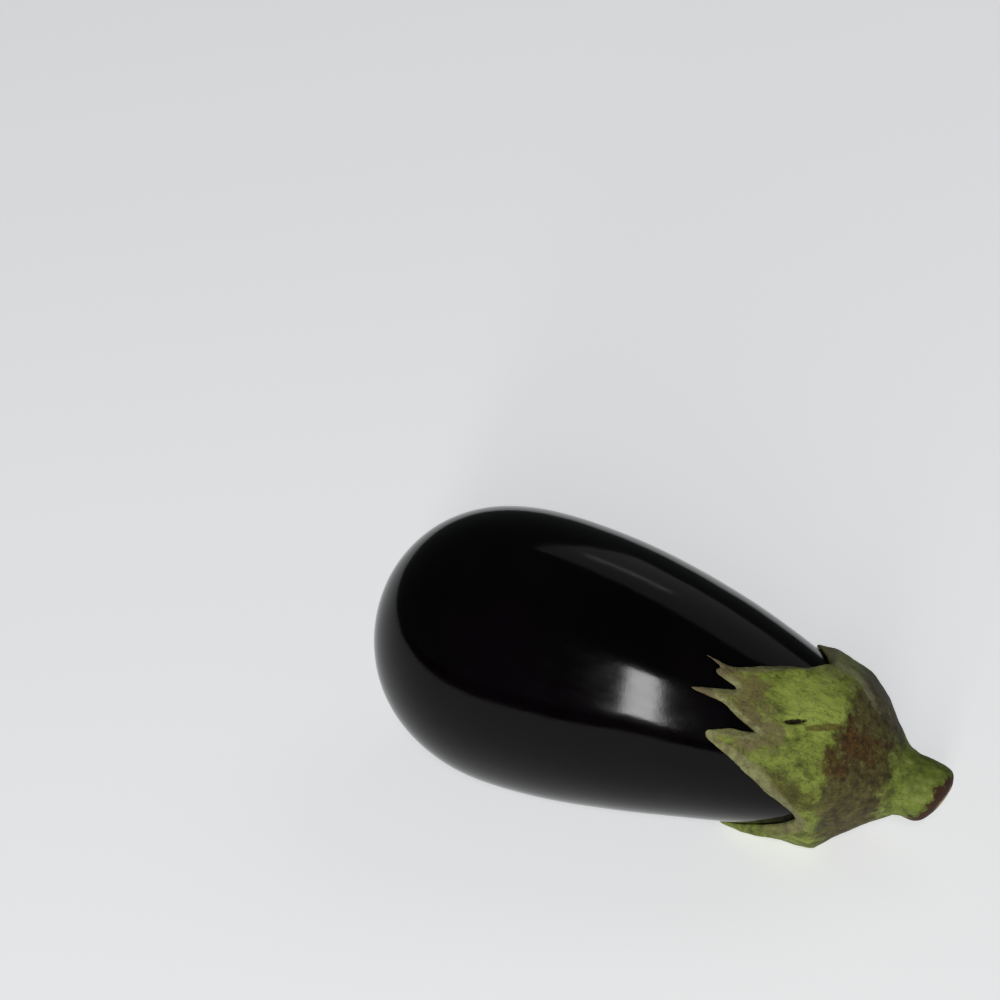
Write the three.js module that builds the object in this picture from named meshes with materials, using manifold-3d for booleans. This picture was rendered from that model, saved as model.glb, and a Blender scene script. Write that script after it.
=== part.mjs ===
import * as THREE from 'three';
import { mergeVertices } from 'three/addons/utils/BufferGeometryUtils.js';
import Module from 'manifold-3d';

const wasm = await Module();
wasm.setup();

// A whole eggplant lying on its side. Lengths are in millimetres and angles in degrees.
// The plant is set out along its own axis: station 0 is the blossom end and the stalk is at the
// far end. Angles run round that axis from the top (0) over the front (90) and the underside
// (180) to the back (270). The finished plant is then tilted until it rests on the floor.

// Fruit
const BELLY_STATION = 48;
const BELLY_RADIUS = 43;
const BLOSSOM_FULLNESS = 0.6;
const NECK_STATION = 143;
const NECK_RADIUS = 26;
const NECK_SLOPE = 0.36;
const SHOULDER_LENGTH = 22;
const SHOULDER_FULLNESS = 0.62;
const BEND_START = 50;
const BEND_RADIUS = 1000;
const OVALNESS = 0.009;
const OVAL_TURN = 35;

// Cap: a hub round the stalk, an edge where it turns down, and lobes that lie along the neck
const CAP_EDGE_BEHIND_NECK = 9;
const LOBE_THICKNESS = 1.6;
const CAP_EDGE_WALL = 6.8;
const LONGEST_LOBE = 44;
const WALL_GROWTH = 2.2;
const CORNER_HEIGHT = 1.1;
const CORNER_COUNT = 5;
const CORNER_TURN = 150;
const HUB_ROOF = 7.5;
const HUB_WAIST = 0.14;
// The rim of the lobes, as angle round the axis and reach from the cap's edge: tips and notches
const LOBE_RIM = [
  [-2, 8], [8, 14.5], [16, 21], [28, 29.5], [37, 37.5], [39.5, 30.5], [49, 42], [52, 30], [58, 20.5],
  [65, 35], [70, 34.5], [75, 27.5], [92, 15.5], [104, 8], [116, 5.5],
  [135, 15], [152, 25], [160, 28.5], [170, 20], [186, 12], [203, 6],
  [222, 18], [241, 30], [260, 18], [281, 8],
  [299, 14], [315, 20], [332, 12.5],
];
const RIM_STEP = 6;

// Stalk
const STALK_BASE_RADIUS = 10.4;
const STALK_RADIUS = 9.6;
const STALK_LENGTH = 10;
const STALK_CUT_ANGLE = 29;
const STALK_CUT_TURN = 14;

// Fits and rest
const CLEARANCE = 0.3;
const DOME_CLEARANCE = 2 * CLEARANCE;
const BELLY_FLAT_DEPTH = 1.1;
const CAP_FLAT_DEPTH = 0.4;

// Fineness of the surfaces
const ROUND_STEPS = 60;
const PROFILE_STEPS = 12;
const LOBE_STEPS = 7;
const RING_CROWDING = 1.25;
const HUB_STEPS = 4;
const STALK_CURVE_STEPS = 4;
const MERGE_DISTANCE = 1e-4;
const BLOCK_SIZE = 600;

const capEdgeStation = NECK_STATION + CAP_EDGE_BEHIND_NECK;
const shoulderStation = NECK_STATION + SHOULDER_LENGTH;
const hubStation = shoulderStation + HUB_ROOF;

const radians = THREE.MathUtils.degToRad;
const mix = THREE.MathUtils.lerp;

// The fruit's half outline as a path of station and radius, in three stretches
function fruitOutline() {
  const path = new THREE.Path();
  const neckReach = (NECK_STATION - BELLY_STATION) / 3;
  path.moveTo(0, 0);
  path.bezierCurveTo(
    0, BELLY_RADIUS * BLOSSOM_FULLNESS,
    BELLY_STATION * (1 - BLOSSOM_FULLNESS), BELLY_RADIUS,
    BELLY_STATION, BELLY_RADIUS,
  );
  path.bezierCurveTo(
    BELLY_STATION + neckReach, BELLY_RADIUS,
    NECK_STATION - neckReach, NECK_RADIUS + NECK_SLOPE * neckReach,
    NECK_STATION, NECK_RADIUS,
  );
  const shoulderReach = SHOULDER_LENGTH * SHOULDER_FULLNESS;
  path.bezierCurveTo(
    NECK_STATION + shoulderReach, NECK_RADIUS - NECK_SLOPE * shoulderReach,
    shoulderStation, NECK_RADIUS * SHOULDER_FULLNESS,
    shoulderStation, 0,
  );
  return path;
}

const outline = fruitOutline();
const outlinePoints = outline.getPoints(PROFILE_STEPS);
const [, , shoulderCurve] = outline.curves;

// The fruit's radius at a station, on the same facets as the fruit itself
function radiusAt(station) {
  const last = outlinePoints.length - 1;
  const next = outlinePoints.findIndex((point, i) => i > 0 && point.x >= station);
  const end = next < 0 ? last : next;
  const a = outlinePoints[end - 1];
  const b = outlinePoints[end];
  const share = b.x > a.x ? (station - a.x) / (b.x - a.x) : 0;
  return mix(a.y, b.y, THREE.MathUtils.clamp(share, 0, 1));
}

// A grown fruit is never quite round: its section is a slight oval
function ovalAt(angle) {
  return 1 + OVALNESS * Math.cos(2 * radians(angle - OVAL_TURN));
}

// A point of the plant from its station, its angle round the axis and its distance from it
function place(station, angle, radius) {
  const droop = Math.max(station - BEND_START, 0) ** 2 / (2 * BEND_RADIUS);
  const turned = radians(angle);
  const y = -radius * Math.sin(turned);
  const z = radius * Math.cos(turned) - droop;
  return new THREE.Vector3(station, y, z);
}

// A closed skin through rings of equally many points, closed at both ends by a single point
function ringSkin(first, rings, last) {
  const count = rings[0].length;
  const points = [first, ...rings.flat(), last];
  const faces = [];
  const lastIndex = points.length - 1;
  for (let i = 0; i < count; i += 1) {
    const j = (i + 1) % count;
    faces.push(0, 1 + j, 1 + i);
    faces.push(lastIndex, lastIndex - count + i, lastIndex - count + j);
    for (let r = 0; r + 1 < rings.length; r += 1) {
      const a = 1 + r * count;
      const b = a + count;
      faces.push(a + i, a + j, b + i);
      faces.push(a + j, b + j, b + i);
    }
  }
  const geometry = new THREE.BufferGeometry().setFromPoints(points);
  geometry.setIndex(faces);
  return geometry;
}

// A body turned round the axis from a half outline of station and radius
function turnedSkin(points, sideSteps, shape) {
  const profile = points.map((point) => new THREE.Vector2(point.y, point.x));
  const geometry = new THREE.LatheGeometry(profile, sideSteps);
  const position = geometry.getAttribute('position');
  const vertex = new THREE.Vector3();
  for (let i = 0; i < position.count; i += 1) {
    vertex.fromBufferAttribute(position, i);
    const angle = THREE.MathUtils.radToDeg(Math.atan2(vertex.x, vertex.z));
    const moved = shape(vertex.y, angle, Math.hypot(vertex.x, vertex.z));
    position.setXYZ(i, moved.x, moved.y, moved.z);
  }
  return geometry;
}

function fruitSkin() {
  const shape = (station, angle, radius) => place(station, angle, radius * ovalAt(angle));
  return turnedSkin(outlinePoints, ROUND_STEPS, shape);
}

// The rim of the lobes with points added between its tips and notches
function rimColumns() {
  const columns = [];
  LOBE_RIM.forEach(([angle, reach], i) => {
    const [nextAngle, nextReach] = LOBE_RIM[(i + 1) % LOBE_RIM.length];
    const span = (nextAngle - angle + 360) % 360;
    const steps = Math.ceil(span / RIM_STEP);
    for (let k = 0; k < steps; k += 1) {
      const share = k / steps;
      columns.push({ angle: angle + span * share, reach: mix(reach, nextReach, share) });
    }
  });
  return columns;
}

// The cap's wall grows thicker from the tips of its lobes to its edge
function capWall(station) {
  const share = 1 - (capEdgeStation - station) / LONGEST_LOBE;
  const growth = Math.max(share, 0) ** WALL_GROWTH;
  return mix(LOBE_THICKNESS, CAP_EDGE_WALL, growth);
}

// The cap's edge is slightly cornered, one corner for each main lobe
function cornerAt(angle, station) {
  const share = 1 - (capEdgeStation - station) / LONGEST_LOBE;
  const wave = Math.cos(CORNER_COUNT * radians(angle - CORNER_TURN));
  return CORNER_HEIGHT * wave * Math.max(share, 0) ** 2;
}

function capInside(angle, station) {
  return radiusAt(station) * ovalAt(angle) + CLEARANCE;
}

function capOutside(angle, station) {
  return capInside(angle, station) + capWall(station) + cornerAt(angle, station);
}

// Rings over the lobes, from their rim to the cap's edge. They crowd together towards the edge,
// where the shoulder curves most.
function lobeRings(columns, radiusOf) {
  return Array.from({ length: LOBE_STEPS + 1 }, (_, k) => columns.map(({ angle, reach }) => {
    const station = capEdgeStation - reach * (1 - k / LOBE_STEPS) ** RING_CROWDING;
    return place(station, angle, radiusOf(angle, station));
  }));
}

// Rings up the outside of the hub, from the cap's edge to the stalk, with a slight waist
function hubRings(columns) {
  return Array.from({ length: HUB_STEPS }, (_, k) => {
    const share = (k + 1) / HUB_STEPS;
    const station = mix(capEdgeStation, hubStation, share);
    return columns.map(({ angle }) => {
      const edge = capOutside(angle, capEdgeStation);
      const hollow = edge * HUB_WAIST * share * (1 - share);
      return place(station, angle, mix(edge, STALK_BASE_RADIUS, share) - hollow);
    });
  });
}

// Rings of the dome inside the hub. They follow the points of the fruit's own shoulder from the
// cap's edge up, each moved out from the fruit by the dome's clearance.
function domeRings(columns) {
  const shares = Array.from({ length: PROFILE_STEPS }, (_, k) => k / PROFILE_STEPS);
  const above = shares.filter((share) => shoulderCurve.getPoint(share).x > capEdgeStation);
  return above.map((share) => {
    const at = shoulderCurve.getPoint(share);
    const along = shoulderCurve.getTangent(share);
    const station = at.x - along.y * DOME_CLEARANCE;
    return columns.map(({ angle }) => (
      place(station, angle, at.y * ovalAt(angle) + along.x * DOME_CLEARANCE)
    ));
  });
}

function capSkin() {
  const columns = rimColumns();
  const inside = [...lobeRings(columns, capInside), ...domeRings(columns)];
  const outside = [...lobeRings(columns, capOutside), ...hubRings(columns)];
  const insideTop = place(shoulderStation + DOME_CLEARANCE, 0, 0);
  const outsideTop = place(hubStation, 0, 0);
  return ringSkin(insideTop, [...inside.reverse(), ...outside], outsideTop);
}

// The stalk before its slanting cut, standing on the hub, long enough for the cut's high side
function stalkSkin() {
  const start = hubStation + CLEARANCE;
  const blank = STALK_LENGTH + 2 * STALK_RADIUS;
  const path = new THREE.Path();
  path.moveTo(start, 0);
  path.lineTo(start, STALK_BASE_RADIUS);
  path.quadraticCurveTo(
    start + STALK_LENGTH / 4, STALK_RADIUS,
    start + STALK_LENGTH / 2, STALK_RADIUS,
  );
  path.lineTo(start + blank, STALK_RADIUS);
  path.lineTo(start + blank, 0);
  return turnedSkin(path.getPoints(STALK_CURVE_STEPS), ROUND_STEPS / 2, place);
}

// A large block for cutting off all that lies beyond a face. The face looks along the axis,
// then pitches down and turns round the axis, and it passes through the point.
function blockBeyond(point, pitch, turn) {
  const block = new THREE.BoxGeometry(BLOCK_SIZE, BLOCK_SIZE, BLOCK_SIZE);
  block.translate(BLOCK_SIZE / 2, 0, 0);
  block.rotateY(radians(pitch));
  block.rotateX(radians(turn));
  block.translate(point.x, point.y, point.z);
  return solidOf(block);
}

// A closed three.js geometry as a solid, and back
function solidOf(geometry) {
  const bare = geometry.clone();
  bare.deleteAttribute('normal');
  bare.deleteAttribute('uv');
  const merged = mergeVertices(bare, MERGE_DISTANCE);
  return new wasm.Manifold(new wasm.Mesh({
    numProp: 3,
    vertProperties: Float32Array.from(merged.getAttribute('position').array),
    triVerts: Uint32Array.from(merged.getIndex().array),
  }));
}

function geometryOf(solid) {
  const mesh = solid.getMesh();
  const geometry = new THREE.BufferGeometry();
  geometry.setAttribute('position', new THREE.BufferAttribute(mesh.vertProperties, 3));
  geometry.setIndex(new THREE.BufferAttribute(mesh.triVerts, 1));
  geometry.computeVertexNormals();
  return geometry;
}

// The floor line under the plant: it touches the cap's edge and the belly, each sunk by its flat
function floorLine() {
  let capLow = 0;
  for (let angle = 90; angle < 270; angle += 1) {
    const low = place(capEdgeStation, angle, capOutside(angle, capEdgeStation)).z;
    capLow = Math.min(capLow, low);
  }
  const capRest = capLow + CAP_FLAT_DEPTH;
  const slopes = outlinePoints
    .filter((point) => point.x < NECK_STATION)
    .map((point) => {
      const underside = place(point.x, 180, point.y * ovalAt(180)).z;
      return (capRest - underside - BELLY_FLAT_DEPTH) / (capEdgeStation - point.x);
    });
  const tilt = Math.atan(Math.max(...slopes));
  const level = capRest * Math.cos(tilt) - capEdgeStation * Math.sin(tilt);
  return { tilt, level };
}

function part(name, solid, { color, roughness }) {
  const material = new THREE.MeshStandardMaterial({ color, roughness, metalness: 0 });
  const mesh = new THREE.Mesh(geometryOf(solid), material);
  mesh.name = name;
  return mesh;
}

const { tilt, level } = floorLine();
const below = blockBeyond(new THREE.Vector3(0, 0, 0), 90, 0);

// Tilts a skin into its resting place and cuts the flats where it meets the floor
function rested(solid) {
  const turned = geometryOf(solid);
  turned.rotateY(tilt);
  turned.translate(0, 0, -level);
  return solidOf(turned).subtract(below);
}

const stalkCutPoint = place(hubStation + CLEARANCE + STALK_LENGTH, 0, 0);
const stalkCut = blockBeyond(stalkCutPoint, STALK_CUT_ANGLE, STALK_CUT_TURN);

const eggplant = new THREE.Group();
eggplant.add(
  part('fruit', rested(solidOf(fruitSkin())), { color: '#1b1420', roughness: 0.2 }),
  part('calyx', rested(solidOf(capSkin())), { color: '#7f8f45', roughness: 0.7 }),
  part('stem', rested(solidOf(stalkSkin()).subtract(stalkCut)), {
    color: '#6f873f',
    roughness: 0.7,
  }),
);

// The origin is on the floor under the middle of the whole plant
const middle = new THREE.Box3().setFromObject(eggplant, true).getCenter(new THREE.Vector3());
eggplant.position.set(-middle.x, -middle.y, 0);

export default eggplant;
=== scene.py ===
import math

import bpy
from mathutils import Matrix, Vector
from mathutils.bvhtree import BVHTree
from mathutils.kdtree import KDTree


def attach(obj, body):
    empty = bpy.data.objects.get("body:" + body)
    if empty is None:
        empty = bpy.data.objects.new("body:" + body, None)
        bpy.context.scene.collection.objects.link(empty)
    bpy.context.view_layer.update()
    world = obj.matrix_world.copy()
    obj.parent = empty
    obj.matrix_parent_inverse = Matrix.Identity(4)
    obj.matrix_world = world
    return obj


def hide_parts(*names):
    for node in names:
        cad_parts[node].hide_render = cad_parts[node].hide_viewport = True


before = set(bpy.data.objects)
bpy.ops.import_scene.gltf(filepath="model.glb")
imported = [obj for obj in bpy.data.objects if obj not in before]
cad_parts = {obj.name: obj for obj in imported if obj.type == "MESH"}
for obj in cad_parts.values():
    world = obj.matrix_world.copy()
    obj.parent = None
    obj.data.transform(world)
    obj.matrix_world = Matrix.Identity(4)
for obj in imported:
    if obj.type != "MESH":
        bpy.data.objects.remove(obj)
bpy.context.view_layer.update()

# A whole eggplant lying on its side. Its pieces are set out along the plant's own axis, in
# millimetres from the blossom end (the station) and degrees round it: 0 on top, 90 on the side
# that faces the viewer, 180 underneath and 270 at the back. Blender's own unit is the metre.
MM = 0.001
AXIS_TILT = math.radians(5.6055)
BLOSSOM_END = Vector((-93.293, 0, 48.180)) * MM
BEND_START = 50
BEND_RADIUS = 1000

CAP_EDGE = 152
SHOULDER_TOP = 165
STALK_SEAT = 172.5
STALK_RADIUS = 9.6


def mix(a, b, share):
    return a + (b - a) * share


def smooth(low, high, value):
    share = min(max((value - low) / (high - low), 0), 1)
    return share * share * (3 - 2 * share)


AXIS = Vector((math.cos(AXIS_TILT), 0, -math.sin(AXIS_TILT)))
UP = Vector((math.sin(AXIS_TILT), 0, math.cos(AXIS_TILT)))
FRONT = Vector((0, -1, 0))


def axis_point(station):
    """The place on the plant's slightly drooping axis at a station."""
    droop = max(station - BEND_START, 0) ** 2 / (2 * BEND_RADIUS)
    return BLOSSOM_END + AXIS * (station * MM) - UP * (droop * MM)


def outward(angle):
    turned = math.radians(angle)
    return UP * math.cos(turned) + FRONT * math.sin(turned)


def plant_point(station, angle, radius):
    return axis_point(station) + outward(angle) * (radius * MM)


def plant_place(point):
    """The station, angle and radius of a point, the other way round."""
    from_start = point - BLOSSOM_END
    station = from_start.dot(AXIS) / MM
    away = point - axis_point(station)
    angle = math.degrees(math.atan2(away.dot(FRONT), away.dot(UP)))
    return station, angle, math.hypot(away.dot(FRONT), away.dot(UP)) / MM


packed_fruit = BVHTree.FromObject(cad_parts["fruit"], bpy.context.evaluated_depsgraph_get())


def fruit_radius(station, angle):
    """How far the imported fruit's skin is from its axis."""
    _, _, _, distance = packed_fruit.ray_cast(axis_point(station), outward(angle))
    return distance / MM if distance else 0


# Modelling by hand: small steps that the pieces share

def deselect_all():
    bpy.ops.object.select_all(action="DESELECT")


def settle(piece):
    """Puts a new piece's place and turn into its mesh."""
    deselect_all()
    piece.select_set(True)
    bpy.context.view_layer.objects.active = piece
    bpy.ops.object.transform_apply(location=True, rotation=True, scale=True)


def start_ring(name, count, station, radius):
    """A circle of points square to the plant's axis, open for editing."""
    deselect_all()
    bpy.ops.mesh.primitive_circle_add(
        vertices=count,
        radius=radius * MM,
        location=axis_point(station),
        rotation=(0, math.pi / 2 + AXIS_TILT, 0),
    )
    piece = bpy.context.object
    piece.name = name
    piece.data.name = name
    settle(piece)
    bpy.ops.object.mode_set(mode="EDIT")
    bpy.ops.mesh.select_all(action="SELECT")
    return piece


def grow_rings(rings):
    """Extrudes the selected ring through the next stations, each at its own radius."""
    station, radius = rings[0]
    for next_station, next_radius in rings[1:]:
        step = axis_point(next_station) - axis_point(station)
        bpy.ops.mesh.extrude_region_move(TRANSFORM_OT_translate={"value": step})
        grown = next_radius / radius
        bpy.ops.transform.resize(
            value=(grown, grown, grown),
            center_override=axis_point(next_station),
        )
        station, radius = next_station, next_radius


def close_ring():
    bpy.ops.mesh.edge_face_add()
    bpy.ops.mesh.poke()


def leave_edit(piece):
    bpy.ops.mesh.select_all(action="SELECT")
    bpy.ops.mesh.normals_make_consistent(inside=False)
    bpy.ops.object.mode_set(mode="OBJECT")
    bpy.ops.object.shade_smooth()
    return piece


def apply_modifier(piece, kind, **settings):
    deselect_all()
    piece.select_set(True)
    bpy.context.view_layer.objects.active = piece
    modifier = piece.modifiers.new(kind.lower(), kind)
    for name, value in settings.items():
        setattr(modifier, name, value)
    bpy.ops.object.modifier_apply(modifier=modifier.name)


def refine(piece, levels):
    apply_modifier(piece, "SUBSURF", levels=levels, render_levels=levels)


def add_lumps(piece, name, size, height):
    """Uneven growth: soft lumps of the given size and total height, in millimetres."""
    lumps = bpy.data.textures.new(name, "CLOUDS")
    lumps.noise_scale = size * MM
    lumps.noise_depth = 1
    apply_modifier(
        piece, "DISPLACE", texture=lumps, texture_coords="LOCAL", strength=height * MM, mid_level=0.5
    )


def rest_on_floor(piece):
    """Presses flat whatever would lie below the floor."""
    deselect_all()
    piece.select_set(True)
    bpy.context.view_layer.objects.active = piece
    bpy.ops.object.mode_set(mode="EDIT")
    bpy.ops.mesh.select_all(action="DESELECT")
    bpy.ops.object.mode_set(mode="OBJECT")
    for vertex in piece.data.vertices:
        vertex.select = vertex.co.z < 0
    bpy.ops.object.mode_set(mode="EDIT")
    bpy.ops.transform.resize(value=(1, 1, 0), center_override=(0, 0, 0))
    bpy.ops.object.mode_set(mode="OBJECT")


# Materials

def colour(hex_code):
    """An sRGB hex colour as linear red, green, blue and alpha."""
    shares = [int(hex_code[i:i + 2], 16) / 255 for i in (1, 3, 5)]
    linear = [s / 12.92 if s <= 0.04045 else ((s + 0.055) / 1.055) ** 2.4 for s in shares]
    return (*linear, 1)


def per_mm(size):
    """The scale of a noise whose grains are about this many millimetres wide."""
    return 1 / (size * MM)


def add_node(tree, kind, inputs=None, stops=None, **settings):
    """Adds a node with its settings, a ramp's stops, and its inputs: values, sockets or other nodes.

    Another node gives its first output that is in use.
    """
    made = tree.nodes.new(kind)
    for name, value in settings.items():
        setattr(made, name, value)
    for name, value in (inputs or {}).items():
        socket = made.inputs[name]
        if isinstance(value, bpy.types.Node):
            value = next(output for output in value.outputs if output.enabled)
        if isinstance(value, bpy.types.NodeSocket):
            tree.links.new(value, socket)
        else:
            socket.default_value = value
    if stops:
        ramp = made.color_ramp
        while len(ramp.elements) < len(stops):
            ramp.elements.new(0.5)
        for element, (position, shade) in zip(ramp.elements, stops):
            element.position = position
            element.color = colour(shade) if isinstance(shade, str) else (shade, shade, shade, 1)
    return made


def new_material(name):
    material = bpy.data.materials.new(name)
    material.use_nodes = True
    material.node_tree.nodes.clear()
    return material, material.node_tree


def plant_coordinates(tree, stretch=1):
    """Object coordinates turned so that X runs along the plant from the cap's edge, in metres."""
    place = add_node(tree, "ShaderNodeTexCoord").outputs["Object"]
    centred = add_node(tree, "ShaderNodeVectorMath", {
        0: place,
        1: axis_point(CAP_EDGE),
    }, operation="SUBTRACT")
    turned = add_node(tree, "ShaderNodeMapping", {
        "Vector": centred.outputs[0],
        "Rotation": (0, -AXIS_TILT, 0),
    })
    stretched = add_node(tree, "ShaderNodeMapping", {
        "Vector": turned.outputs[0],
        "Scale": (1 / stretch, 1, 1),
    })
    return stretched.outputs[0]


def mottled(tree, vector, size, stops, detail=4, roughness=0.55):
    """Mottling in patches about this many millimetres wide, coloured by its stops."""
    patches = add_node(tree, "ShaderNodeTexNoise", {
        "Vector": vector,
        "Scale": per_mm(size),
        "Detail": detail,
        "Roughness": roughness,
    })
    return add_node(tree, "ShaderNodeValToRGB", {"Fac": patches}, stops=stops)


def stained(tree, under, mask, strength, shade):
    """Lays a stain over the colour that is there, at a strength, where the mask allows it."""
    share = add_node(tree, "ShaderNodeMath", {0: mask, 1: strength}, operation="MULTIPLY")
    return add_node(tree, "ShaderNodeMix", {0: share, 6: under, 7: shade}, data_type="RGBA")


def near(tree, place, point, radius, ragged, size):
    """1 close to a point and 0 away from it, with a ragged edge."""
    apart = add_node(tree, "ShaderNodeVectorMath", {0: place, 1: point}, operation="DISTANCE")
    wander = add_node(tree, "ShaderNodeTexNoise", {
        "Vector": place,
        "Scale": per_mm(size),
        "Detail": 5,
        "Roughness": 0.65,
    })
    moved = add_node(tree, "ShaderNodeMath", {
        0: add_node(tree, "ShaderNodeMath", {0: wander, 1: 0.5}, operation="SUBTRACT"),
        1: ragged * MM,
    }, operation="MULTIPLY")
    distance = add_node(tree, "ShaderNodeMath", {0: apart.outputs["Value"], 1: moved}, operation="ADD")
    made = add_node(tree, "ShaderNodeMapRange", {
        "Value": distance,
        "From Min": radius * 0.5 * MM,
        "From Max": radius * 1.35 * MM,
        "To Min": 1.0,
        "To Max": 0.0,
    }, interpolation_type="SMOOTHSTEP")
    return made.outputs["Result"]


def eggplant_skin():
    """Thin waxy skin, purple so deep that it reads as black, with a soft natural polish."""
    material, tree = new_material("waxy_eggplant_skin")
    place = add_node(tree, "ShaderNodeTexCoord").outputs["Object"]
    along = plant_coordinates(tree, stretch=3)
    depth = mottled(tree, place, 26, [(0.3, "#020102"), (0.7, "#070406")])
    scar = near(tree, place, tuple(axis_point(0.6)), 3.2, 3.0, 1.6)
    cork = mottled(tree, place, 0.9, [(0.3, "#4a3a26"), (0.7, "#8f7a56")], roughness=0.7)
    shade = add_node(tree, "ShaderNodeMix", {0: scar, 6: depth, 7: cork}, data_type="RGBA")
    smears = add_node(tree, "ShaderNodeTexNoise", {
        "Vector": along,
        "Scale": per_mm(3.5),
        "Detail": 5,
        "Roughness": 0.55,
    })
    gloss = add_node(tree, "ShaderNodeMapRange", {
        "Value": smears, "From Min": 0.3, "From Max": 0.7, "To Min": 0.09, "To Max": 0.13,
    }).outputs["Result"]
    rough = add_node(tree, "ShaderNodeMath", {
        0: gloss,
        1: add_node(tree, "ShaderNodeMath", {0: scar, 1: 0.5}, operation="MULTIPLY"),
    }, operation="ADD")
    ripple = add_node(tree, "ShaderNodeBump", {
        "Height": add_node(tree, "ShaderNodeTexNoise", {
            "Vector": along,
            "Scale": per_mm(3.0),
            "Detail": 3,
            "Roughness": 0.55,
        }),
        "Strength": 0.5,
        "Distance": 0.03 * MM,
    })
    # Coarser than real pores, which are too fine to show from here
    pores = add_node(tree, "ShaderNodeBump", {
        "Height": add_node(tree, "ShaderNodeTexNoise", {
            "Vector": place,
            "Scale": per_mm(0.7),
            "Detail": 3,
            "Roughness": 0.55,
        }),
        "Strength": 0.5,
        "Distance": 0.012 * MM,
        "Normal": ripple.outputs["Normal"],
    })
    shader = add_node(tree, "ShaderNodeBsdfPrincipled", {
        "Base Color": shade,
        "Roughness": rough,
        "IOR": 1.26,
        "Normal": pores.outputs["Normal"],
    })
    add_node(tree, "ShaderNodeOutputMaterial", {"Surface": shader})
    return material


def line_mask(tree, place, middle, along, across, half_length, half_width):
    """1 on a short ragged line over the surface and 0 away from it."""
    away = add_node(tree, "ShaderNodeVectorMath", {0: place, 1: middle}, operation="SUBTRACT").outputs[0]
    total = add_node(tree, "ShaderNodeMath", {
        0: add_node(tree, "ShaderNodeTexNoise", {
            "Vector": place,
            "Scale": per_mm(1.6),
            "Detail": 6,
            "Roughness": 0.7,
        }),
        1: 2.8,
    }, operation="MULTIPLY")
    for way, half in ((along, half_length), (across, half_width)):
        apart = add_node(tree, "ShaderNodeVectorMath", {0: away, 1: way}, operation="DOT_PRODUCT")
        share = add_node(tree, "ShaderNodeMath", {
            0: apart.outputs["Value"],
            1: half * MM,
        }, operation="DIVIDE")
        total = add_node(tree, "ShaderNodeMath", {
            0: total,
            1: add_node(tree, "ShaderNodeMath", {0: share, 1: share}, operation="MULTIPLY"),
        }, operation="ADD")
    return add_node(tree, "ShaderNodeMapRange", {
        "Value": total,
        "From Min": 2.6,
        "From Max": 1.9,
    }, interpolation_type="SMOOTHSTEP")


def stalk_green(tree, place, along):
    """The live green of the stalk, mottled and finely ribbed, which runs into the hub."""
    green = mottled(tree, place, 4, [
        (0.34, "#454f1a"), (0.48, "#5f6c27"), (0.6, "#727f32"), (0.7, "#888d4f"),
    ], detail=6, roughness=0.65)
    fibres = mottled(tree, along, 1.0, [(0.5, 0.0), (0.78, 0.45)], detail=5, roughness=0.65)
    return add_node(tree, "ShaderNodeMix", {
        0: fibres,
        6: green,
        7: colour("#7e8458"),
    }, data_type="RGBA")


def wandering(tree, value, place, size, amount):
    """A value that wanders by a noise of this grain, so that no border runs straight."""
    noise = add_node(tree, "ShaderNodeMath", {
        0: add_node(tree, "ShaderNodeTexNoise", {
            "Vector": place,
            "Scale": per_mm(size),
            "Detail": 6,
            "Roughness": 0.65,
        }),
        1: 0.5,
    }, operation="SUBTRACT")
    return add_node(tree, "ShaderNodeMath", {
        0: value,
        1: add_node(tree, "ShaderNodeMath", {0: noise, 1: amount}, operation="MULTIPLY"),
    }, operation="ADD")


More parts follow.
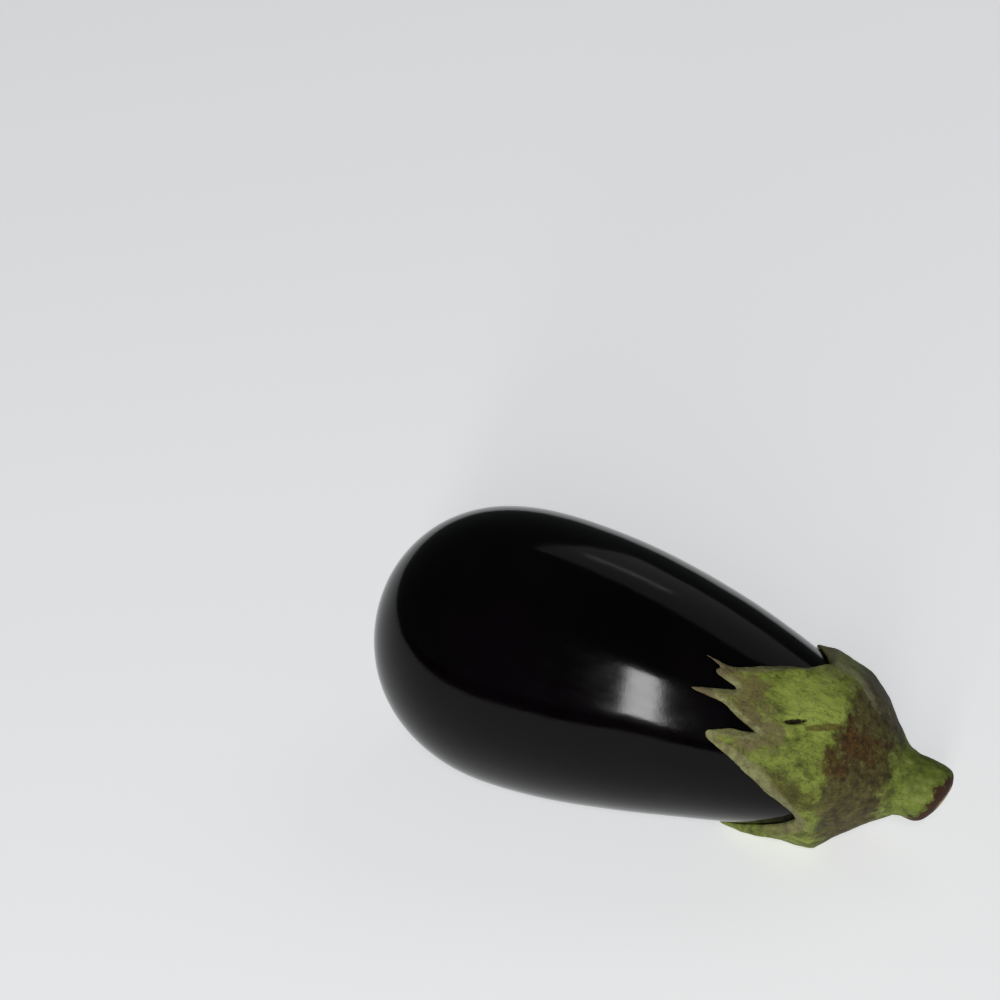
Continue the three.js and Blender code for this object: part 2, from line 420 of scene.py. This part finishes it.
def cap_tissue():
    """Tough green leaf tissue with a felt of short hairs, bruised brown where it was rubbed."""
    material, tree = new_material("felted_green_cap_tissue")
    place = add_node(tree, "ShaderNodeTexCoord").outputs["Object"]
    along = plant_coordinates(tree, stretch=4)
    straight = plant_coordinates(tree)
    station = add_node(tree, "ShaderNodeSeparateXYZ", {0: straight}).outputs["X"]
    bevel = add_node(tree, "ShaderNodeAttribute", attribute_name="bevel").outputs["Fac"]

    # Lobes: live green in clouds, with darker olive flecks that run along the lobes
    patches = add_node(tree, "ShaderNodeTexNoise", {
        "Vector": place,
        "Scale": per_mm(6),
        "Detail": 8,
        "Roughness": 0.72,
        "Distortion": 0.5,
    })
    green = add_node(tree, "ShaderNodeValToRGB", {"Fac": patches}, stops=[
        (0.34, "#45431a"), (0.43, "#5e6827"), (0.5, "#737f31"), (0.59, "#838f3c"), (0.7, "#93994f"),
    ])
    # Painted light: the upper lobe faces up, away from the lamps, so its green is painted lighter
    upper_lobe_light = near(tree, place, lobe_point(8, 31), 11, 26, 5)
    lit_upper_green = stained(tree, green, upper_lobe_light, 0.65, colour("#99a84c"))
    streaks = add_node(tree, "ShaderNodeTexNoise", {
        "Vector": along,
        "Scale": per_mm(1.5),
        "Detail": 6,
        "Roughness": 0.65,
    })
    flecked = add_node(tree, "ShaderNodeMix", {
        0: add_node(tree, "ShaderNodeValToRGB", {"Fac": streaks}, stops=[(0.5, 0.0), (0.72, 0.7)]),
        6: lit_upper_green,
        7: colour("#3f3d17"),
    }, data_type="RGBA")
    notch = near(tree, place, lobe_point(21, 57), 7, 22, 4)
    notched = stained(tree, flecked, notch, 0.75, colour("#6a5c43"))
    upper = near(tree, place, lobe_point(27, 40), 7, 22, 4)
    tanned = stained(tree, notched, upper, 0.7, colour("#6a5a3c"))
    under_edge = add_node(tree, "ShaderNodeMath", {
        0: near(tree, place, lobe_point(9, 90), 9, 26, 4),
        1: add_node(tree, "ShaderNodeMapRange", {
            "Value": wandering(tree, bevel, place, 3, 0.5),
            "From Min": 1.0,
            "From Max": 0.6,
        }, interpolation_type="SMOOTHSTEP"),
    }, operation="MULTIPLY")
    lobes = stained(tree, tanned, under_edge, 0.8, colour("#3c3413"))

    # Hub: rubbed brown and grey over dull green
    hub = mottled(tree, place, 4, [
        (0.34, "#251d0d"), (0.44, "#3c341a"), (0.52, "#48441e"), (0.6, "#57512a"), (0.72, "#736c42"),
    ], detail=9, roughness=0.75)
    rubs = mottled(tree, along, 2.2, [(0.5, 0.0), (0.72, 0.55)], detail=6, roughness=0.7)
    rubbed = add_node(tree, "ShaderNodeMix", {0: rubs, 6: hub, 7: colour("#6a6338")}, data_type="RGBA")
    on_hub = add_node(tree, "ShaderNodeMapRange", {
        "Value": wandering(tree, station, place, 5, 12 * MM),
        "From Min": -0.5 * MM,
        "From Max": 3.5 * MM,
    }, interpolation_type="SMOOTHSTEP")
    body = add_node(tree, "ShaderNodeMix", {0: on_hub, 6: lobes, 7: rubbed}, data_type="RGBA")

    # Bruises that start at the split's end and spread over the hub
    rust = mottled(tree, place, 2, [(0.36, "#2a1704"), (0.64, "#5a3a10")], detail=6, roughness=0.7)
    bruises = line_mask(tree, place, lobe_point(2.5, 40.5), SPLIT_ALONG, SPLIT_ACROSS, 6.5, 1.15)
    bruises = add_node(tree, "ShaderNodeMath", {0: bruises, 1: 0.75}, operation="MULTIPLY")
    for share, angle, size, weight in [(0.24, 43, 6, 1), (0.5, 41, 5.5, 0.9), (0.14, 60, 5, 0.85)]:
        spot = near(tree, place, hub_point(share, angle), size, 24, 4)
        bruises = add_node(tree, "ShaderNodeMath", {
            0: bruises,
            1: add_node(tree, "ShaderNodeMath", {0: spot, 1: weight}, operation="MULTIPLY"),
        }, operation="MAXIMUM")
    bruised = stained(tree, body, bruises, 0.85, rust)

    # Edges: pale where they thin, but green on the lowest lobe, with painted highlights on the back
    # lobe's tip and along the fold, and dried brown at the tips
    lowest = near(tree, place, lobe_point(20, 156), 15, 8, 4)
    edge = add_node(tree, "ShaderNodeMath", {
        0: add_node(tree, "ShaderNodeMapRange", {
            "Value": wandering(tree, bevel, place, 2, 0.18),
            "From Min": 0.32,
            "From Max": 0.2,
        }, interpolation_type="SMOOTHSTEP"),
        1: add_node(tree, "ShaderNodeMath", {
            0: 0.9,
            1: add_node(tree, "ShaderNodeMath", {0: lowest, 1: 0.8}, operation="MULTIPLY"),
        }, operation="SUBTRACT"),
    }, operation="MULTIPLY")
    pale = mottled(tree, place, 2.5, [(0.36, "#6c6545"), (0.5, "#7e7d52"), (0.66, "#8f8f64")], detail=6)
    edged = add_node(tree, "ShaderNodeMix", {0: edge, 6: bruised, 7: pale}, data_type="RGBA")
    # A painted highlight lightens the back lobe's tip where it catches the light
    back = near(tree, place, lobe_point(9, -8), 10, 22, 4)
    # A painted highlight runs along the fold where the back lobe turns down to the hub
    fold_highlight = line_mask(tree, place, FOLD_HIGHLIGHT_MIDDLE, FOLD_HIGHLIGHT_ALONG, FOLD_HIGHLIGHT_ACROSS, 13, 2.4)
    back_tip_highlighted = stained(tree, edged, back, 0.6, colour("#8b8a5c"))
    fold_highlighted = stained(tree, back_tip_highlighted, fold_highlight, 0.32, colour("#a6a386"))
    tips = add_node(tree, "ShaderNodeMath", {
        0: near(tree, place, lobe_point(40, 48), 6, 22, 3),
        1: near(tree, place, lobe_point(37, 34), 5, 22, 3),
    }, operation="MAXIMUM")
    dried = stained(tree, fold_highlighted, tips, 0.7, colour("#5f4a38"))

    # The stalk's green runs into the hub's end
    to_stalk = add_node(tree, "ShaderNodeMapRange", {
        "Value": wandering(tree, station, place, 4, 14 * MM),
        "From Min": 15 * MM,
        "From Max": 21 * MM,
    }, interpolation_type="SMOOTHSTEP")
    joined = add_node(tree, "ShaderNodeMix", {
        0: to_stalk,
        6: dried,
        7: stalk_green(tree, place, plant_coordinates(tree, stretch=5)),
    }, data_type="RGBA")

    # The split's dark line, then small specks in crowds, and pale flakes
    split = line_mask(
        tree, place, SPLIT_MIDDLE, SPLIT_ALONG, SPLIT_ACROSS, SPLIT_HALF_LENGTH, SPLIT_HALF_WIDTH
    )
    opened = add_node(tree, "ShaderNodeMix", {
        0: split,
        6: joined,
        7: colour("#1f130b"),
    }, data_type="RGBA")
    specks = mottled(tree, place, 0.8, [(0.54, 0.0), (0.67, 0.7)], roughness=0.6)
    crowded = mottled(tree, place, 5, [(0.42, 0.2), (0.6, 1.0)], detail=3)
    speckled = stained(tree, opened, specks, crowded, colour("#29260f"))
    flakes = mottled(tree, place, 1.1, [(0.62, 0.0), (0.76, 0.4)], detail=5, roughness=0.6)
    flaked = add_node(tree, "ShaderNodeMix", {
        0: flakes,
        6: speckled,
        7: colour("#98966a"),
    }, data_type="RGBA")
    veins = add_node(tree, "ShaderNodeBump", {"Height": streaks, "Strength": 0.8, "Distance": 0.5 * MM})
    # The felt's grain is coarser than the real hairs, so that it still shows from here
    felt = add_node(tree, "ShaderNodeBump", {
        "Height": add_node(tree, "ShaderNodeTexNoise", {
            "Vector": place,
            "Scale": per_mm(0.7),
            "Detail": 6,
            "Roughness": 0.75,
        }),
        "Strength": 0.8,
        "Distance": 0.22 * MM,
        "Normal": veins.outputs["Normal"],
    })
    shader = add_node(tree, "ShaderNodeBsdfPrincipled", {
        "Base Color": flaked,
        "Roughness": 0.65,
        "IOR": 1.4,
        "Specular IOR Level": 0.3,
        "Normal": felt.outputs["Normal"],
    })
    add_node(tree, "ShaderNodeOutputMaterial", {"Surface": shader})
    return material


def stalk_skin():
    """Green fibrous stalk with a smooth skin, browned where it dried by the cut."""
    material, tree = new_material("green_stalk_skin")
    place = add_node(tree, "ShaderNodeTexCoord").outputs["Object"]
    along = plant_coordinates(tree, stretch=5)
    green = stalk_green(tree, place, along)
    from_cut = add_node(tree, "ShaderNodeVectorMath", {0: place, 1: CUT_POINT}, operation="SUBTRACT")
    depth = add_node(tree, "ShaderNodeVectorMath", {
        0: from_cut.outputs[0], 1: CUT_NORMAL,
    }, operation="DOT_PRODUCT").outputs["Value"]
    browned = add_node(tree, "ShaderNodeMapRange", {
        "Value": wandering(tree, depth, place, 3.5, 12 * MM),
        "From Min": -3.9 * MM,
        "From Max": -1.8 * MM,
    }, interpolation_type="SMOOTHSTEP")
    shade = add_node(tree, "ShaderNodeMix", {
        0: browned,
        6: green,
        7: colour("#38200f"),
    }, data_type="RGBA")
    spots = mottled(tree, place, 2.4, [(0.66, 0.0), (0.72, 0.85)], detail=3)
    spotted = add_node(tree, "ShaderNodeMix", {
        0: spots,
        6: shade,
        7: colour("#3f3015"),
    }, data_type="RGBA")
    ribs = add_node(tree, "ShaderNodeBump", {
        "Height": add_node(tree, "ShaderNodeTexNoise", {
            "Vector": along,
            "Scale": per_mm(1.1),
            "Detail": 5,
            "Roughness": 0.55,
        }),
        "Strength": 0.7,
        "Distance": 0.25 * MM,
    })
    shader = add_node(tree, "ShaderNodeBsdfPrincipled", {
        "Base Color": spotted,
        "Roughness": 0.72,
        "IOR": 1.4,
        "Specular IOR Level": 0.35,
        "Normal": ribs.outputs["Normal"],
    })
    add_node(tree, "ShaderNodeOutputMaterial", {"Surface": shader})
    return material


def stalk_pith():
    """The dry cut face: pale woody pith inside a ring of brown fibres."""
    material, tree = new_material("dry_stalk_pith")
    place = add_node(tree, "ShaderNodeTexCoord").outputs["Object"]
    apart = add_node(tree, "ShaderNodeVectorMath", {0: place, 1: CUT_POINT}, operation="DISTANCE")
    wander = add_node(tree, "ShaderNodeMath", {
        0: add_node(tree, "ShaderNodeTexNoise", {
            "Vector": place,
            "Scale": per_mm(1.5),
            "Detail": 5,
            "Roughness": 0.55,
        }),
        1: 2.5 * MM,
    }, operation="MULTIPLY")
    ring = add_node(tree, "ShaderNodeMath", {
        0: add_node(tree, "ShaderNodeMath", {0: apart.outputs["Value"], 1: wander}, operation="ADD"),
        1: 12 * MM,
    }, operation="DIVIDE")
    shade = add_node(tree, "ShaderNodeValToRGB", {"Fac": ring}, stops=[
        (0.2, "#a08f63"), (0.55, "#8b7a4c"), (0.7, "#5d4425"), (0.85, "#3a2412"),
    ])
    ends = add_node(tree, "ShaderNodeTexNoise", {
        "Vector": place,
        "Scale": per_mm(0.7),
        "Detail": 5,
        "Roughness": 0.7,
    })
    dotted = add_node(tree, "ShaderNodeMix", {
        0: add_node(tree, "ShaderNodeValToRGB", {"Fac": ends}, stops=[(0.48, 0.0), (0.64, 0.6)]),
        6: shade,
        7: colour("#4a351d"),
    }, data_type="RGBA")
    fibres = add_node(tree, "ShaderNodeBump", {"Height": ends, "Strength": 0.7, "Distance": 0.3 * MM})
    shader = add_node(tree, "ShaderNodeBsdfPrincipled", {
        "Base Color": dotted,
        "Roughness": 0.8,
        "Normal": fibres.outputs["Normal"],
    })
    add_node(tree, "ShaderNodeOutputMaterial", {"Surface": shader})
    return material


# Camera and studio

def aim(thing, at):
    thing.rotation_euler = (at - thing.location).to_track_quat("-Z", "Y").to_euler()


def direction(azimuth, elevation):
    """Away from the middle of the set: azimuth 0 is the front and 90 the stalk's side."""
    a, e = math.radians(azimuth), math.radians(elevation)
    return Vector((math.sin(a) * math.cos(e), -math.cos(a) * math.cos(e), math.sin(e)))


CAMERA_TARGET = Vector((-63.26, 22.51, 79.77)) * MM
CAMERA_AZIMUTH = 22.05
CAMERA_ELEVATION = 30
CAMERA_DISTANCE = 878.5 * MM


def set_camera():
    data = bpy.data.cameras.new("camera")
    data.lens = 100
    data.sensor_width = 36
    data.clip_start = 0.01
    camera = bpy.data.objects.new("camera", data)
    bpy.context.collection.objects.link(camera)
    away = direction(CAMERA_AZIMUTH, CAMERA_ELEVATION)
    camera.location = CAMERA_TARGET + away * CAMERA_DISTANCE
    aim(camera, CAMERA_TARGET)
    bpy.context.scene.camera = camera


def add_softbox(name, azimuth, elevation, distance, width, height, radiance, roll):
    """A rectangular soft light, as bright all over as its radiance says."""
    data = bpy.data.lights.new(name, "AREA")
    data.shape = "RECTANGLE"
    data.size = width
    data.size_y = height
    data.energy = radiance * math.pi * width * height
    light = bpy.data.objects.new(name, data)
    bpy.context.collection.objects.link(light)
    light.location = direction(azimuth, elevation) * distance
    aim(light, Vector((0, 0, 0.05)))
    light.rotation_euler.rotate_axis("Z", math.radians(roll))
    light.visible_camera = False


FLOOR_SIZE = 8
FLAG_EDGE = 0.26
FLAG_DEPTH = 3.4
FLAG_HEIGHT = 0.002


def add_black_flag():
    """A sheet of black felt that only reflections see. It ends the pale floor 26 cm in front."""
    deselect_all()
    bpy.ops.mesh.primitive_plane_add(size=1, location=(0, -FLAG_EDGE - FLAG_DEPTH / 2, FLAG_HEIGHT))
    flag = bpy.context.object
    flag.name = "black_flag"
    flag.scale = (FLOOR_SIZE, FLAG_DEPTH, 1)
    settle(flag)
    material, tree = new_material("black_felt_flag")
    shader = add_node(tree, "ShaderNodeBsdfPrincipled", {
        "Base Color": (0.002, 0.002, 0.002, 1),
        "Roughness": 1.0,
        "Specular IOR Level": 0.0,
    })
    add_node(tree, "ShaderNodeOutputMaterial", {"Surface": shader})
    flag.data.materials.append(material)
    flag.visible_camera = False
    flag.visible_diffuse = False
    flag.visible_shadow = False


# Azimuth and elevation in degrees, distance, width and height in metres, radiance, roll in degrees
SOFTBOXES = [
    ("key_softbox", 13.6, 24, 2.0, 0.195, 1.42, 30, -11),
    ("back_strip", 177, 50, 1.5, 0.3, 0.08, 1.2, 0),
    ("back_panel", 160, 48, 1.7, 1.3, 1.1, 0.4, 0),
]


def set_studio():
    """A matt white acrylic sheet to lie on, which gives off some light, and three soft lights."""
    deselect_all()
    bpy.ops.mesh.primitive_plane_add(size=FLOOR_SIZE, location=(0, 0, 0))
    floor = bpy.context.object
    floor.name = "studio_floor"
    material, tree = new_material("matt_white_acrylic_sheet")
    shader = add_node(tree, "ShaderNodeBsdfPrincipled", {
        "Base Color": (0.78, 0.78, 0.78, 1),
        "Roughness": 0.9,
        "Specular IOR Level": 0.0,
        "Emission Color": (0.985, 1, 1.015, 1),
        "Emission Strength": 0.5,
    })
    add_node(tree, "ShaderNodeOutputMaterial", {"Surface": shader})
    floor.data.materials.append(material)
    add_black_flag()
    for softbox in SOFTBOXES:
        add_softbox(*softbox)
    world = bpy.data.worlds.new("dark_studio")
    world.use_nodes = True
    world.node_tree.nodes["Background"].inputs["Color"].default_value = (0.05, 0.055, 0.055, 1)
    bpy.context.scene.world = world
    bpy.context.scene.view_settings.view_transform = "Standard"


# Fruit

FRUIT_SIDES = 40
FRUIT_STATIONS = 27
TIP_RINGS = [(1.3, 0.7), (1.0, 1.8), (0.55, 3.2), (0.75, 5.0)]
CAGE_SHRINK = 1 + (math.pi / FRUIT_SIDES) ** 2 * 2 / 3


def make_fruit():
    """Rings grown from the blossom end to the shoulder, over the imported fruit's own width."""
    rings = list(TIP_RINGS)
    for step in range(1, FRUIT_STATIONS):
        share = step / FRUIT_STATIONS
        station = SHOULDER_TOP * (1 - math.cos(math.pi * share)) / 2
        across = [fruit_radius(station, angle) for angle in (0, 90, 270)]
        radius = sum(across) / len(across) * CAGE_SHRINK
        if radius > rings[-1][1] * 1.1 or station > 20:
            rings.append((station, radius))
    rings.append((SHOULDER_TOP, 2))
    fruit = start_ring("fruit_skin", FRUIT_SIDES, *rings[0])
    close_ring()
    bpy.ops.object.mode_set(mode="OBJECT")
    tip = plant_point(rings[0][0], 0, 0)
    for vertex in fruit.data.vertices:
        vertex.select = (vertex.co - tip).length > 0.5 * rings[0][1] * MM
    bpy.ops.object.mode_set(mode="EDIT")
    grow_rings(rings)
    close_ring()
    leave_edit(fruit)
    refine(fruit, 3)
    swell_belly(fruit)
    add_lumps(fruit, "slow_swelling", size=45, height=0.6)
    add_lumps(fruit, "shallow_dents", size=12, height=0.05)
    rest_on_floor(fruit)
    return fruit


BELLY_MIDDLE = plant_point(54, 140, 41)
BELLY_REACH = 60
BELLY_FULLNESS = 2.3


def swell_belly(fruit):
    """The berry is a little fuller low down on its front, ahead of the middle."""
    for vertex in fruit.data.vertices:
        _, angle, _ = plant_place(vertex.co)
        fullness = BELLY_FULLNESS * smooth(BELLY_REACH, 0, (vertex.co - BELLY_MIDDLE).length / MM)
        vertex.co += outward(angle) * (fullness * MM)


# Cap

TIP_WALL = 1.5
EDGE_WALL = 6.8
LONGEST_LOBE = 44
WALL_GROWTH = 2.2
HUB_WAIST = 0.14
COLLAR_LENGTH = 4.5
BACK_FULLNESS = 2.8
BACK_ANGLE = -30
PRESSED_IN = 0.2
RIM_LIFT = 0.5
TIP_LIFT = 2.2
THINNEST = 0.3
CORNER_HEIGHT = 1.1
COLLAR_TAPER = 0.9
COLLAR_FILLET = 0.75
DOME_GAP = 0.3
OUTLINE_STEP = 2.6
NECK_GIRTH = 26

# The lobes' outline as angle round the plant and reach from the cap's edge
LOBE_OUTLINE = [
    (-2, 8), (8.5, 14.5), (16, 21), (23.5, 26.5), (29, 31), (31.2, 34.5), (31.6, 38), (32, 41.5),
    (32.6, 38), (33.8, 36), (35.6, 37.6), (37.4, 37), (38.4, 33.8), (40.4, 30), (42.4, 33),
    (44.6, 36.2), (46.6, 39.5), (48.2, 42.5), (48.9, 41.6), (49, 37.2), (49.2, 34.3), (50.4, 31.2),
    (53.5, 28), (56.2, 24), (58.2, 20.3), (59.8, 24.5), (60.6, 28.5), (62.7, 32), (65, 35.2),
    (69, 34.6), (73.5, 28.8), (77.6, 24.6), (83.3, 19.9), (89.3, 16.4), (95.6, 12.4),
    (101.8, 8.9), (108, 6.2), (117, 5.2), (127, 9), (135, 15), (145, 21), (152, 26.5),
    (157, 31), (161, 30.5), (165, 25), (170, 19.5), (178, 15), (186, 11.5), (195, 7.5), (203, 6),
    (212, 11), (222, 18), (232, 25), (239, 30), (243, 29.5), (250, 24), (260, 17), (270, 11.5),
    (281, 8), (290, 11), (299, 14), (308, 16), (315, 17), (321, 15.5), (332, 12.5), (345, 9.5),
]


def outline_steps(longest):
    """The outline with points added so that no two are farther apart than this, in millimetres."""
    points = []
    following = LOBE_OUTLINE[1:] + LOBE_OUTLINE[:1]
    for (angle, reach), (next_angle, next_reach) in zip(LOBE_OUTLINE, following):
        span = (next_angle - angle) % 360
        length = math.hypot(math.radians(span) * NECK_GIRTH, next_reach - reach)
        steps = math.ceil(length / longest)
        for step in range(steps):
            share = step / steps
            points.append((angle + span * share, mix(reach, next_reach, share)))
    return points


def flattened(angle, reach):
    """A place on the lobes when they are spread out flat, in millimetres."""
    return Vector((math.radians(angle) * NECK_GIRTH, reach, 0))


def outline_tree():
    points = outline_steps(0.25)
    tree = KDTree(3 * len(points))
    for index, (angle, reach) in enumerate(points):
        for turn in (-360, 0, 360):
            tree.insert(flattened(angle + turn, reach), index)
    tree.balance()
    return tree


outline = outline_tree()


def bevel_width(angle):
    """How wide the pale thinning edge of the lobes is. It is broadest under the front lobe."""
    angle %= 360
    front = 3.4 * smooth(64, 76, angle) * smooth(125, 108, angle)
    top = 1.0 * smooth(6, 12, angle) * smooth(32, 26, angle)
    back = 3.5 * smooth(285, 300, angle) * smooth(345, 330, angle)
    return 1.4 + front + top + back


def bevel_share(angle, reach):
    """0 on the lobes' outline, 1 where the thinning edge ends, and more farther in."""
    _, _, apart = outline.find(flattened(angle, reach))
    return apart / bevel_width(angle)


def lobe_share(reach):
    return max(1 - reach / LONGEST_LOBE, 0)


def cap_wall(reach):
    return mix(TIP_WALL, EDGE_WALL, lobe_share(reach) ** WALL_GROWTH)


def corner(angle, reach):
    """The cap is slightly cornered, with one corner for each main lobe."""
    return CORNER_HEIGHT * math.cos(math.radians(5 * (angle - 150))) * lobe_share(reach) ** 2


def lobe_place(angle, reach, thickness):
    """A point of a lobe at a share of its thickness. The rim lifts a little off the fruit."""
    station = CAP_EDGE - reach
    share = bevel_share(angle, reach)
    lift = RIM_LIFT * smooth(3, 0, share) + TIP_LIFT * smooth(30, 43, reach) ** 2
    under = fruit_radius(station, angle) - PRESSED_IN + lift
    thinning = mix(THINNEST, 1, min(share, 1))
    return station, under + (cap_wall(reach) + corner(angle, reach)) * thickness * thinning


def hub_place(angle, share):
    """A point on the outside of the hub, from the cap's edge to the stalk."""
    _, edge = lobe_place(angle, 0, 1)
    station = mix(CAP_EDGE, STALK_SEAT, share)
    if share > 1:
        return station, COLLAR_RADIUS - COLLAR_TAPER * (share - 1) / COLLAR_SHARE
    hollow = edge * HUB_WAIST * share * (1 - share)
    turned = math.cos(math.radians(angle - BACK_ANGLE))
    hump = 27 / 4 * share * (1 - share) ** 2
    full = BACK_FULLNESS * smooth(0, 1, turned) * hump
    return station, mix(edge, COLLAR_RADIUS, share) - hollow + full


def lobe_point(reach, angle):
    """The place on the outer face of a lobe, this far from the cap's edge."""
    station, radius = lobe_place(angle, reach, 1)
    return plant_point(station, angle, radius)


def hub_point(share, angle):
    """The place on the outside of the hub, at a share of the way to the stalk."""
    station, radius = hub_place(angle, share)
    return plant_point(station, angle, radius)


COLLAR_RADIUS = STALK_RADIUS + COLLAR_FILLET
COLLAR_SHARE = COLLAR_LENGTH / (STALK_SEAT - CAP_EDGE)
HUB_SHARES = [1 + COLLAR_SHARE, 1.1, 1, 0.92, 0.8, 0.66, 0.5, 0.34, 0.2, 0.1, 0.04]
LOBE_SHARES = [0, 0.06, 0.14, 0.23, 0.32, 0.42, 0.52, 0.62, 0.71, 0.8, 0.87, 0.93, 0.97]
UNDER_SHARES = [0.97, 0.85, 0.65, 0.4, 0.15]
DOME_SHARES = [0, 0.4, 0.8]


def cap_rows():
    """Every row of the cap from the stalk over the hub and the lobes, and back underneath."""
    rows = [lambda angle, reach: (STALK_SEAT + COLLAR_LENGTH, 0)]
    for share in HUB_SHARES:
        rows.append(lambda angle, reach, share=share: hub_place(angle, share))
    for share in LOBE_SHARES:
        rows.append(lambda angle, reach, share=share: lobe_place(angle, reach * share, 1))
    rows.append(lambda angle, reach: lobe_place(angle, reach, 0.82))
    rows.append(lambda angle, reach: lobe_place(angle, reach, 0.2))
    for share in UNDER_SHARES:
        rows.append(lambda angle, reach, share=share: lobe_place(angle, reach * share, 0))
    for share in DOME_SHARES:
        rows.append(lambda angle, reach, share=share: (
            mix(CAP_EDGE, SHOULDER_TOP, share),
            fruit_radius(mix(CAP_EDGE, SHOULDER_TOP, share), angle) + DOME_GAP,
        ))
    rows.append(lambda angle, reach: (SHOULDER_TOP + 0.5, 0))
    return rows


def make_cap():
    """A sheet rolled round the plant: each of its columns runs to its own place on the rim."""
    columns = outline_steps(OUTLINE_STEP)
    rows = cap_rows()
    deselect_all()
    bpy.ops.mesh.primitive_grid_add(x_subdivisions=len(columns), y_subdivisions=len(rows) - 1, size=2)
    cap = bpy.context.object
    cap.name = "cap_tissue"
    cap.data.name = "cap_tissue"
    for vertex in cap.data.vertices:
        column = round((vertex.co.x + 1) / 2 * len(columns)) % len(columns)
        row = round((vertex.co.y + 1) / 2 * (len(rows) - 1))
        angle, reach = columns[column]
        station, radius = rows[row](angle, reach)
        vertex.co = plant_point(station, angle, radius)
    bpy.ops.object.mode_set(mode="EDIT")
    bpy.ops.mesh.select_all(action="SELECT")
    bpy.ops.mesh.remove_doubles(threshold=0.00001)
    leave_edit(cap)
    refine(cap, 2)
    add_lumps(cap, "uneven_growth", size=9, height=1.0)
    add_lumps(cap, "fine_puckers", size=2.2, height=0.28)
    open_split(cap)
    rest_on_floor(cap)
    mark_bevel(cap)
    return cap


def mark_bevel(cap):
    """Writes how far in from the lobes' outline each point is: a quarter where the edge ends."""
    bevel = cap.data.attributes.new("bevel", "FLOAT", "POINT")
    for index, vertex in enumerate(cap.data.vertices):
        station, angle, _ = plant_place(vertex.co)
        reach = CAP_EDGE - station
        bevel.data[index].value = min(bevel_share(angle, reach) / 4, 1) if reach > -2 else 1


# The short split between the two upper lobes
SPLIT_ANGLE = 44.5
SPLIT_MIDDLE = lobe_point(11.5, SPLIT_ANGLE)
SPLIT_ALONG = (lobe_point(8.4, 41.5) - lobe_point(14.5, 47.3)).normalized()
SPLIT_ACROSS = outward(SPLIT_ANGLE).cross(SPLIT_ALONG).normalized()
SPLIT_HALF_LENGTH = 3.8
SPLIT_HALF_WIDTH = 0.75
SPLIT_DEPTH = 1.8
SPLIT_WIDENING = 1.5
SPLIT_REACH = 8

# A painted highlight along the fold over the back lobe, where the cap turns down to the hub
FOLD_HIGHLIGHT_MIDDLE = lobe_point(0.5, -1)
FOLD_HIGHLIGHT_ALONG = (hub_point(0.4, 4) - lobe_point(7.4, -3.2)).normalized()
FOLD_HIGHLIGHT_ACROSS = outward(-1).cross(FOLD_HIGHLIGHT_ALONG).normalized()


def open_split(cap):
    """Presses in the split, a little wider than its dark line is painted."""
    for vertex in cap.data.vertices:
        away = (vertex.co - SPLIT_MIDDLE) / MM
        if away.length < SPLIT_REACH:
            length_share = away.dot(SPLIT_ALONG) / SPLIT_HALF_LENGTH
            width_share = away.dot(SPLIT_ACROSS) / (SPLIT_HALF_WIDTH * SPLIT_WIDENING)
            depth = SPLIT_DEPTH * smooth(1.2, 0.2, math.hypot(length_share, width_share))
            vertex.co -= outward(SPLIT_ANGLE) * (depth * MM)


# Stalk

CUT_ANGLE = math.radians(26)
CUT_TURN = 14
RIM_ROUND = 4.2
STALK_GAP = 0.3
STALK_LENGTH = 11.8
PITH_RADIUS = 5.2
PITH_DEPTH = 0.8
STALK_RINGS = [(168, 8.6), (172, 9.9), (175, 9.9), (200, 9.8)]

# The worn rim in steps: how far each goes in and out, as shares of its rounding
RIM_STEPS = [(0.13, 0.5), (0.37, 0.42), (0.5, 0.22), (0.5, 0.12), (0.4, 0.05)]
CUT_NORMAL = AXIS * math.cos(CUT_ANGLE) - outward(-CUT_TURN) * math.sin(CUT_ANGLE)
CUT_POINT = axis_point(STALK_SEAT + STALK_GAP + STALK_LENGTH)


def pick_faces(piece, wanted):
    """Starts editing a piece with only the wanted faces selected."""
    bpy.ops.object.mode_set(mode="EDIT")
    bpy.ops.mesh.select_mode(type="FACE")
    bpy.ops.mesh.select_all(action="DESELECT")
    bpy.ops.object.mode_set(mode="OBJECT")
    for face in piece.data.polygons:
        face.select = wanted(face)
    bpy.ops.object.mode_set(mode="EDIT")


def on_cut(face):
    """Whether a face is the flat that the cut left."""
    return face.normal.dot(CUT_NORMAL) > 0.99 and len(face.vertices) > 8


def make_stalk():
    """A short stalk out of the hub, cut off at a slant, with a worn round rim."""
    stalk = start_ring("stalk", 32, *STALK_RINGS[0])
    bpy.ops.mesh.edge_face_add()
    grow_rings(STALK_RINGS)
    bpy.ops.mesh.edge_face_add()
    bpy.ops.mesh.select_all(action="SELECT")
    bpy.ops.mesh.bisect(
        plane_co=CUT_POINT - CUT_NORMAL * (RIM_ROUND * MM),
        plane_no=CUT_NORMAL,
        use_fill=True,
        clear_outer=True,
    )
    leave_edit(stalk)
    pick_faces(stalk, on_cut)
    for inwards, outwards in RIM_STEPS:
        bpy.ops.mesh.inset(thickness=inwards * RIM_ROUND * MM, depth=outwards * RIM_ROUND * MM)
    bpy.ops.mesh.poke()
    bpy.ops.mesh.select_mode(type="VERT")
    leave_edit(stalk)
    refine(stalk, 2)
    add_lumps(stalk, "stalk_growth", size=6, height=0.7)
    return stalk


def give(piece, node, materials):
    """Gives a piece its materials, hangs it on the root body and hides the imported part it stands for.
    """
    for material in materials:
        piece.data.materials.append(material)
    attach(piece, "root")
    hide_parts(node)


set_camera()
set_studio()
give(make_fruit(), "fruit", [eggplant_skin()])
give(make_cap(), "calyx", [cap_tissue()])
stalk = make_stalk()
give(stalk, "stem", [stalk_skin(), stalk_pith()])
for face in stalk.data.polygons:
    inward = (face.center - CUT_POINT).dot(CUT_NORMAL) / MM
    _, _, radius = plant_place(face.center)
    face.material_index = 1 if inward > -PITH_DEPTH and radius < PITH_RADIUS else 0
